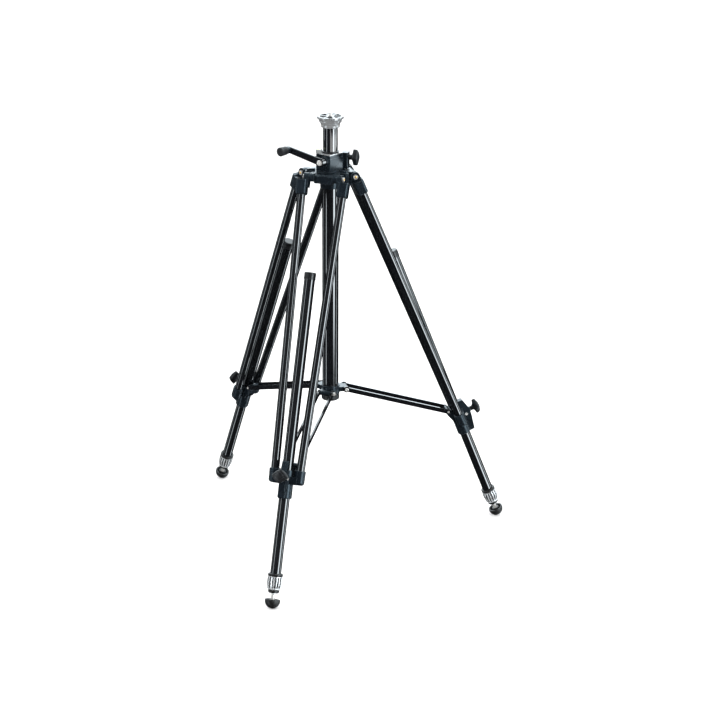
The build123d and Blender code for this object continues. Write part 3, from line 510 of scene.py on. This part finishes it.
# ------------------------------------------------------------ twist collars
def twist_collar(leg):
    """Fluted aluminium barrel, bored for both tubes."""
    flutes = 16
    turn = JOINTS[leg + "_collar_turn"]
    place = frame_at(turn["pos_m"], -Vector(turn["axis"]), JOINTS[leg + "_leg_fold"]["axis"])
    top, low = 13.5, -18.0
    rings = []
    rows = 30
    for row in range(rows + 1):
        share = row / rows
        height = top + (low - top) * share
        belly = 16.0 + 2.2 * math.sin(math.pi * min(1.0, share * 1.12 + 0.06)) ** 0.8
        rim = min(share, 1 - share) * (top - low)
        belly -= 0.9 * max(0.0, 1 - rim / 1.2) ** 2
        window = min(1.0, max(0.0, (rim - 1.6) / 1.6))
        window = window * window * (3 - 2 * window)

        def outline(angle, belly=belly, window=window):
            wave = math.cos(flutes * angle)
            groove = max(0.0, 0.55 + wave) / 1.55
            return (belly - 2.1 * window * groove ** 0.7) * MM

        rings.append(ring(height * MM, outline, count=192))
    for radius, height in ((11.47, low), (11.47, 8.4), (13.07, 8.4), (13.07, top)):
        rings.append(ring(height * MM, circle(radius * MM), count=192))
    rings.append(rings[0])
    name = leg + "_collar_barrel"
    piece = stack(name, rings, place, leg + "_collar", SILVER[leg], (False, False), 30.0)
    # Painted shade: the faces deep in each flute take the near-black second material.
    piece.data.materials.append(GROOVE_SHADE)
    for row in range(3, rows - 3):
        for step in range(192):
            if math.cos(flutes * 2 * math.pi * (step + 0.5) / 192) > 0.1:
                piece.data.polygons[row * 192 + step].material_index = 1
    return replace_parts(piece, leg + "_twist_collar")


for leg in LEGS:
    twist_collar(leg)


# ------------------------------------------------------------------- feet
def ball_frame(leg, radius):
    """Frame at the centre of the half ball, Z up the leg."""
    down = Vector(JOINTS[leg + "_collar_turn"]["axis"])
    point = Vector(JOINTS[leg + "_collar_turn"]["pos_m"])
    reach = (point.z - radius) / -down.z
    return frame_at(point + down * reach, -down, JOINTS[leg + "_leg_fold"]["axis"])


def foot_ball(leg):
    """Half-ball rubber foot with a rim, a ribbed hollow and a boss round the spindle."""
    radius = 18.0 * MM
    place = ball_frame(leg, radius)
    top = 3.0 * MM
    bore = 4.57 * MM
    ribs = 8

    def hollow(x, y):
        r = math.hypot(x, y)
        rib = abs(math.sin(ribs / 2 * math.atan2(y, x))) * r
        return 0.0 if rib < 0.9 * MM else -3.6 * MM

    rings = [ring(-radius * 0.969, circle(bore))]
    for step in range(1, 26):
        angle = math.radians(-76 + step * (76 + 9.6) / 25)
        rings.append(ring(radius * math.sin(angle), circle(radius * math.cos(angle))))
    rings += [
        ring(top - 0.3 * MM, circle(17.3 * MM)),
        ring(top, circle(16.9 * MM)),
        ring(top, circle(14.9 * MM)),
        ring(top - 0.3 * MM, circle(14.6 * MM)),
        ring(top, circle(14.4 * MM), hollow, 96),
        ring(top, circle(11.5 * MM), hollow, 96),
        ring(top, circle(8.9 * MM), hollow, 96),
        ring(top - 0.2 * MM, circle(8.6 * MM)),
        ring(top, circle(8.2 * MM)),
        ring(top, circle(5.4 * MM)),
        ring(top - 0.6 * MM, circle(bore)),
        rings[0],
    ]
    name = leg + "_foot_rubber"
    piece = stack(name, rings, place, leg + "_foot", RUBBER, (False, False), 30.0)
    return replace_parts(piece, leg + "_foot_ball")


for leg in LEGS:
    foot_ball(leg)


# -------------------------------------------------------------- camera stud
def camera_stud():
    """3/8 inch stud with its thread cut, above the head plate."""
    low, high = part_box("camera_stud")
    radius = 4.7625 * MM
    pitch = 1.5875 * MM
    depth = 0.62 * MM
    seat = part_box("top_plate")[1].z
    rows = 8
    shank = 4.2 * MM
    start = seat - 0.7 * MM
    rings = [ring(low.z, circle(shank), count=64), ring(start - 0.05 * MM, circle(shank), count=64)]
    steps = int((high.z - 0.8 * MM - start) / pitch * rows)
    for step in range(steps + 1):
        height = start + step * pitch / rows
        left = (high.z - height) / (1.6 * MM)
        shrink = min(1.0, 0.82 + 0.18 * left)

        def outline(angle, height=height, shrink=shrink):
            phase = (height / pitch - angle / (2 * math.pi)) % 1.0
            tooth = abs(2 * phase - 1)
            return (radius - depth * min(1.0, max(0.0, (tooth - 0.1) / 0.8))) * shrink

        rings.append(ring(height, outline, count=64))
    rings.append(ring(high.z, circle(radius * 0.8), count=64))
    rings.append(ring(high.z, circle(radius * 0.42), count=64))
    rings.append(ring(high.z - 0.4 * MM, circle(radius * 0.38), count=64))
    piece = stack("stud_thread", rings, Matrix.Translation(CENTRE), "column", STEEL, smooth=28.0)
    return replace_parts(piece, "camera_stud")


camera_stud()


# --------------------------------------------------------------- crank grip
def crank_grip():
    """Flared grip: ribbed black sleeve, grey collar next to the arm."""
    spin = JOINTS["grip_spin"]
    place = frame_at(spin["pos_m"], spin["axis"], UP)
    bore = 4.07
    collar = [(bore, -15.6), (8.4, -15.6), (9.0, -15.0), (9.6, -8.2), (9.2, -7.6)]
    collar += [(bore, -7.6), (bore, -15.6)]
    grip = [(bore, -7.5), (9.3, -7.5), (9.9, -6.9)]
    for rib in range(7):
        start = -6.0 + rib * 2.3
        swell = 0.06 * rib
        root, crest = 9.9 + swell, 10.35 + swell
        grip += [(root, start), (crest, start + 0.5), (crest, start + 1.4), (root, start + 1.9)]
    grip += [(10.9, 11.0), (11.0, 12.4), (10.5, 13.6), (9.6, 14.0)]
    grip += [(7.2, 14.0), (6.8, 13.2), (2.2, 13.2), (2.0, 12.2)]
    grip += [(0.01, 12.2), (0.01, 10.3), (bore, 10.3), (bore, -7.5)]
    closed = (False, False)
    scaled = [(r * MM, h * MM) for r, h in collar]
    turned("grip_collar", scaled, place, "grip", CASTING, closed)
    scaled = [(r * MM, h * MM) for r, h in grip]
    piece = turned("grip_sleeve", scaled, place, "grip", PLASTIC, closed)
    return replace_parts(piece, "crank_grip")


crank_grip()


# ------------------------------------------------------------ small fasteners
for leg in LEGS:
    turn = JOINTS[leg + "_lock_turn"]
    out = Vector(turn["axis"])
    across = Vector(JOINTS[leg + "_leg_fold"]["axis"])
    up = out.cross(across)
    if up.z < 0:
        up = -up
    centre = Vector(turn["pos_m"])
    side = centre - out * 24.5 * MM + across * 7.5 * MM
    head, tail = side - up * 5 * MM, side - up * 5 * MM - across * 15 * MM
    cap_screw(leg + "_clamp_screw", head, across, leg + "_leg", 3.8, 3.2, 1.6)
    cap_screw(leg + "_clamp_nut", tail, -across, leg + "_leg", 3.6, 2.6, 1.5)
    pivot = Vector(JOINTS[leg + "_arm_swing"]["pos_m"])
    for sign in (-1, 1):
        head = pivot + across * sign * 21.4 * MM
        name = leg + "_hub_screw" + ("_a" if sign < 0 else "_b")
        cap_screw(name, head, across * sign, "hub", 4.2, 3.0, 1.6)


def dome_cap(name, point, axis, body, radius, height, material):
    """Low domed cap standing on a face."""
    place = frame_at(point, axis, across_of(axis))
    profile = []
    for step in range(9):
        angle = math.radians(90 * step / 9)
        profile.append((radius * math.cos(angle) * MM, height * math.sin(angle) * MM))
    profile.append((radius * 0.05 * MM, height * MM))
    return turned(name, profile, place, body, material)


# Outer face of a hinge bolt's head, from the middle of the leg.
HINGE_HEAD = 50.4
for leg in LEGS:
    fold = JOINTS[leg + "_leg_fold"]
    across = Vector(fold["axis"])
    for sign, end in ((-1, "_a"), (1, "_b")):
        head = Vector(fold["pos_m"]) + across * sign * (HINGE_HEAD - 0.2) * MM
        dome_cap(leg + "_bolt_centre" + end, head, across * sign, "stand", 3.0, 1.5, BRASS)

turn = JOINTS["crank_turn"]
out = Vector(turn["axis"])
cap_screw("crank_screw", Vector(turn["pos_m"]) + out * 9.1 * MM, out, "crank", 4.8, 2.0, 2.3)

low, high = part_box("bubble_level")
rim = Vector(((low.x + high.x) / 2, (low.y + high.y) / 2, high.z))
dome_cap("level_bubble_dome", rim - UP * 0.75 * MM, UP, "stand", 6.0, 1.6, LEVEL)


# ---------------------------------------------------------------------- stage
def area_light(name, place, aim, size, power):
    data = bpy.data.lights.new(name, "AREA")
    data.shape = "RECTANGLE"
    data.size, data.size_y = size
    data.energy = power
    light = bpy.data.objects.new(name, data)
    bpy.context.collection.objects.link(light)
    light.location = place
    light.rotation_euler = (Vector(aim) - Vector(place)).to_track_quat("-Z", "Y").to_euler()
    light.visible_glossy = False
    return light


MIRRORS = bpy.data.collections.new("card_mirrors")
for name in ("column_tube", "gear_housing"):
    MIRRORS.objects.link(frame["nodes"][name])


def reflection_card(name, turn, height, half_width, half_height, radiance):
    """Soft card seen only in reflections, at 1 m from the column, level with the
    part of the room that the upright column mirrors towards the camera."""
    way = Vector((math.cos(math.radians(turn)), math.sin(math.radians(turn)), 0.0))
    place = CENTRE + way + UP * height
    area = 4 * half_width * half_height
    size = (2 * half_width, 2 * half_height)
    light = area_light(name, place, CENTRE + UP * height, size, radiance * math.pi * area)
    light.visible_glossy = True
    light.visible_diffuse = False
    light.visible_camera = False
    light.light_linking.receiver_collection = MIRRORS
    return light


def make_floor():
    mesh = bpy.data.meshes.new("floor")
    reach = 40.0
    corners = [(-reach, -reach, 0), (reach, -reach, 0), (reach, reach, 0), (-reach, reach, 0)]
    mesh.from_pydata(corners, [], [(0, 1, 2, 3)])
    floor = bpy.data.objects.new("floor", mesh)
    bpy.context.collection.objects.link(floor)
    s = Shader("floor_paper")
    s.feed(s.mix(s.noise(3.0), rgb(0.885, 0.885, 0.885), rgb(0.905, 0.905, 0.905)), "Base Color")
    s.set(Roughness=0.9)
    mesh.materials.append(s.material)
    floor.visible_glossy = False
    return floor


def make_world():
    """White room for the eye and for diffuse light. Reflections see a dark studio
    with upright strip lights and one wide soft wall, so that gloss black reads black."""
    world = bpy.data.worlds.new("studio")
    bpy.context.scene.world = world
    world.use_nodes = True
    world.cycles.sampling_method = "NONE"
    nodes, links = world.node_tree.nodes, world.node_tree.links

    def node(kind, inputs, **settings):
        made = nodes.new(kind)
        for key, value in settings.items():
            setattr(made, key, value)
        for key, value in inputs.items():
            if isinstance(value, bpy.types.NodeSocket):
                links.new(value, made.inputs[key])
            else:
                made.inputs[key].default_value = value
        return made.outputs

    def math_node(operation, *values):
        return node("ShaderNodeMath", dict(enumerate(values)), operation=operation)[0]

    def window(value, low, high):
        inputs = {0: value, 1: low, 2: high, 3: 0.0, 4: 1.0}
        return node("ShaderNodeMapRange", inputs, interpolation_type="SMOOTHSTEP")[0]

    direction = nodes.new("ShaderNodeTexCoord").outputs["Generated"]
    flat = node("ShaderNodeVectorMath", {0: direction, 1: (1, 1, 0)}, operation="MULTIPLY")["Vector"]
    level = node("ShaderNodeVectorMath", {0: flat}, operation="NORMALIZE")["Vector"]
    height = node("ShaderNodeSeparateXYZ", {0: direction})["Z"]

    def upright(turn, half_width, edge):
        aim = (math.cos(math.radians(turn)), math.sin(math.radians(turn)), 0.0)
        facing = node("ShaderNodeVectorMath", {0: level, 1: aim}, operation="DOT_PRODUCT")["Value"]
        outer = math.cos(math.radians(half_width + edge))
        return window(facing, outer, math.cos(math.radians(half_width)))

    total = window(height, -0.6, 0.9)
    total = math_node("MULTIPLY_ADD", total, 0.10, 0.02)
    for turn, half_width, edge, power, lowest in STRIPS:
        above = window(height, lowest - 0.03, lowest + 0.03)
        strip = math_node("MULTIPLY", upright(turn, half_width, edge), above)
        total = math_node("MULTIPLY_ADD", strip, power, total)
    wall = math_node("MULTIPLY", window(height, 0.02, 0.16), window(height, 0.98, 0.80))
    wall = math_node("MULTIPLY", wall, upright(WALL_TURN, 50, 20))
    total = math_node("MULTIPLY_ADD", wall, WALL_POWER, total)
    glossy = nodes.new("ShaderNodeLightPath").outputs["Is Glossy Ray"]
    background = nodes["Background"]
    tint = node("ShaderNodeMix", {0: glossy, 6: rgb(1, 1, 1), 7: rgb(0.86, 0.95, 1.0)}, data_type="RGBA")[2]
    strength = node("ShaderNodeMix", {0: glossy, 2: ROOM_POWER, 3: total}, data_type="FLOAT")[0]
    links.new(tint, background.inputs["Color"])
    links.new(strength, background.inputs["Strength"])


# Strip lights seen in reflections: turn from +X, half width and edge in degrees,
# power, and the lowest height they reach (sine of the elevation).
STRIPS = (
    (-20.0, 9.0, 4.0, 9.0, -0.34),
    (24.0, 3.0, 3.0, 7.0, -1.1),
    (-133.0, 2.0, 2.5, 6.0, -0.64),
    (178.0, 2.0, 3.0, 2.0, -0.60),
)
WALL_TURN = 108.0
WALL_POWER = 5.0
ROOM_POWER = 1.12

CAMERA_TURN = 17.95
CAMERA_PITCH = 20.457
CAMERA_REACH = 4.1826
CAMERA_HEIGHT = 2.0215


def make_camera():
    turn = math.radians(CAMERA_TURN)
    data = bpy.data.cameras.new("camera")
    data.sensor_width = 36.0
    data.lens = 90.7
    data.shift_x = 0.0411
    camera = bpy.data.objects.new("camera", data)
    bpy.context.collection.objects.link(camera)
    place = Vector((CAMERA_REACH * math.sin(turn), -CAMERA_REACH * math.cos(turn), CAMERA_HEIGHT))
    camera.location = CENTRE + place
    camera.rotation_euler = (math.radians(90 - CAMERA_PITCH), 0, turn)
    bpy.context.scene.camera = camera


make_floor()
make_world()
make_camera()
area_light("key", (-3.0, -3.0, 3.2), (0, 0, 0.6), (1.6, 2.4), 160)
area_light("fill", (3.4, -1.5, 2.4), (0, 0, 0.6), (1.2, 2.6), 90)
area_light("rim", (0.5, 3.6, 2.6), (0, 0, 0.7), (2.0, 1.4), 90)
reflection_card("card_front", -45.0, 0.62, 0.60, 0.17, 2.6)
reflection_card("card_right", 10.0, 0.62, 0.60, 0.17, 2.6)
bpy.context.scene.view_settings.view_transform = "Standard"
